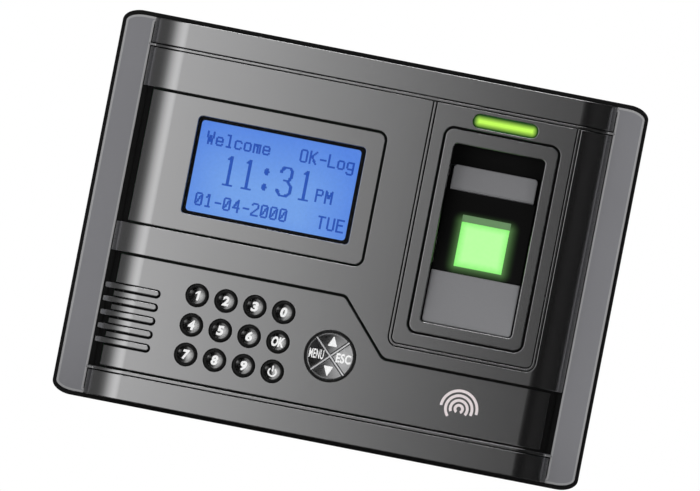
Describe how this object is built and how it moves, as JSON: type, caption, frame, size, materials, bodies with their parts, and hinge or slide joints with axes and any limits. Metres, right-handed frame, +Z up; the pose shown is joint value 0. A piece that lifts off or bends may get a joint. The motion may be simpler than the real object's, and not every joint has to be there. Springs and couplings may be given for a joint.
{
  "type": "fingerprint scanner terminal",
  "caption": "Wall-mounted fingerprint reader with a backlit display, round keypad, four-way pad, speaker slots, sloped finger well and status light on an arched two-part case.",
  "frame": {"origin": "on the wall plate's rear face, at the middle of the case's width and height", "axes": "+X along the case's width to the right seen from the front, +Y into the wall, +Z up"},
  "size_m": [0.185, 0.038, 0.1352],
  "materials": {
    "cover_grey": "satin metallic",
    "shell_black": "fine texture",
    "key_black": "gloss",
    "nav_dark": "gloss",
    "nav_ring_black": "gloss",
    "nav_silver": "satin",
    "seal_rubber": "matte",
    "plate_steel": "zinc plated",
    "screw_steel": "zinc plated",
    "window_clear": "polished",
    "frame_black": "matte black",
    "lcd_blue": "polished",
    "backlight_white": "matte",
    "board_green": "solder mask",
    "silicone_grey": "matte",
    "speaker_black": "matte black",
    "cone_paper": "matte",
    "magnet_steel": "satin",
    "well_black": "matte",
    "tray_grey": "satin",
    "glass_green": "polished",
    "camera_black": "matte",
    "status_green": "translucent",
    "chip_black": "matte",
    "relay_blue": "gloss",
    "cell_steel": "satin",
    "jack_black": "matte",
    "shield_steel": "tin plated",
    "terminal_green": "matte",
    "button_white": "matte",
    "ribbon_white": "satin"
  },
  "bodies": {
    "housing": {"front_cover": "cover_grey", "display_bezel": "cover_grey", "keypad_bezel": "cover_grey", "sensor_bezel": "cover_grey", "speaker_grille": "cover_grey", "rear_shell": "shell_black", "nav_ring": "nav_ring_black", "nav_cross": "nav_silver", "panel_seals": "seal_rubber", "display_gasket": "seal_rubber", "wall_plate": "plate_steel", "locking_screw": "screw_steel", "case_screws": "screw_steel", "board_screws": "screw_steel", "display_window": "window_clear", "lcd_frame": "frame_black", "lcd_glass": "lcd_blue", "lcd_backlight": "backlight_white", "lcd_board": "board_green", "keypad_board": "board_green", "sensor_board": "board_green", "status_board": "board_green", "main_board": "board_green", "keypad_mat": "silicone_grey", "speaker_frame": "speaker_black", "speaker_cone": "cone_paper", "speaker_magnet": "magnet_steel", "sensor_well": "well_black", "sensor_housing": "well_black", "finger_ramp": "tray_grey", "finger_stop": "tray_grey", "sensor_glass": "glass_green", "sensor_camera": "camera_black", "status_lens": "status_green", "board_components": "chip_black", "board_switches": "chip_black", "relay": "relay_blue", "coin_cell": "cell_steel", "power_jack": "jack_black", "network_jack": "shield_steel", "terminal_block": "terminal_green", "ribbon_cables": "ribbon_white"},
    "key_1": {"key_1": "key_black"},
    "key_2": {"key_2": "key_black"},
    "key_3": {"key_3": "key_black"},
    "key_0": {"key_0": "key_black"},
    "key_4": {"key_4": "key_black"},
    "key_5": {"key_5": "key_black"},
    "key_6": {"key_6": "key_black"},
    "key_ok": {"key_ok": "key_black"},
    "key_7": {"key_7": "key_black"},
    "key_8": {"key_8": "key_black"},
    "key_9": {"key_9": "key_black"},
    "key_power": {"key_power": "key_black"},
    "nav_escape": {"nav_escape": "nav_dark"},
    "nav_up": {"nav_up": "nav_dark"},
    "nav_menu": {"nav_menu": "nav_dark"},
    "nav_down": {"nav_down": "nav_dark"},
    "reset_button": {"reset_button": "button_white"},
    "tamper_plunger": {"tamper_plunger": "button_white"}
  },
  "joints": [
    {"name": "key_1_press", "type": "slide", "parent": "housing", "child": "key_1", "axis": [0, 1, 0], "range_m": [0, 0.001], "stiffness_N_per_m": 800},
    {"name": "key_2_press", "type": "slide", "parent": "housing", "child": "key_2", "axis": [0, 1, 0], "range_m": [0, 0.001], "stiffness_N_per_m": 800},
    {"name": "key_3_press", "type": "slide", "parent": "housing", "child": "key_3", "axis": [0, 1, 0], "range_m": [0, 0.001], "stiffness_N_per_m": 800},
    {"name": "key_0_press", "type": "slide", "parent": "housing", "child": "key_0", "axis": [0, 1, 0], "range_m": [0, 0.001], "stiffness_N_per_m": 800},
    {"name": "key_4_press", "type": "slide", "parent": "housing", "child": "key_4", "axis": [0, 1, 0], "range_m": [0, 0.001], "stiffness_N_per_m": 800},
    {"name": "key_5_press", "type": "slide", "parent": "housing", "child": "key_5", "axis": [0, 1, 0], "range_m": [0, 0.001], "stiffness_N_per_m": 800},
    {"name": "key_6_press", "type": "slide", "parent": "housing", "child": "key_6", "axis": [0, 1, 0], "range_m": [0, 0.001], "stiffness_N_per_m": 800},
    {"name": "key_ok_press", "type": "slide", "parent": "housing", "child": "key_ok", "axis": [0, 1, 0], "range_m": [0, 0.001], "stiffness_N_per_m": 800},
    {"name": "key_7_press", "type": "slide", "parent": "housing", "child": "key_7", "axis": [0, 1, 0], "range_m": [0, 0.001], "stiffness_N_per_m": 800},
    {"name": "key_8_press", "type": "slide", "parent": "housing", "child": "key_8", "axis": [0, 1, 0], "range_m": [0, 0.001], "stiffness_N_per_m": 800},
    {"name": "key_9_press", "type": "slide", "parent": "housing", "child": "key_9", "axis": [0, 1, 0], "range_m": [0, 0.001], "stiffness_N_per_m": 800},
    {"name": "key_power_press", "type": "slide", "parent": "housing", "child": "key_power", "axis": [0, 1, 0], "range_m": [0, 0.001], "stiffness_N_per_m": 800},
    {"name": "nav_escape_press", "type": "slide", "parent": "housing", "child": "nav_escape", "axis": [0, 1, 0], "range_m": [0, 0.0008], "stiffness_N_per_m": 900},
    {"name": "nav_up_press", "type": "slide", "parent": "housing", "child": "nav_up", "axis": [0, 1, 0], "range_m": [0, 0.0008], "stiffness_N_per_m": 900},
    {"name": "nav_menu_press", "type": "slide", "parent": "housing", "child": "nav_menu", "axis": [0, 1, 0], "range_m": [0, 0.0008], "stiffness_N_per_m": 900},
    {"name": "nav_down_press", "type": "slide", "parent": "housing", "child": "nav_down", "axis": [0, 1, 0], "range_m": [0, 0.0008], "stiffness_N_per_m": 900},
    {"name": "reset_press", "type": "slide", "parent": "housing", "child": "reset_button", "axis": [0, 0, 1], "range_m": [0, 0.0005], "stiffness_N_per_m": 1500},
    {"name": "tamper_press", "type": "slide", "parent": "housing", "child": "tamper_plunger", "axis": [0, -1, 0], "range_m": [0, 0.001], "stiffness_N_per_m": 600}
  ]
}
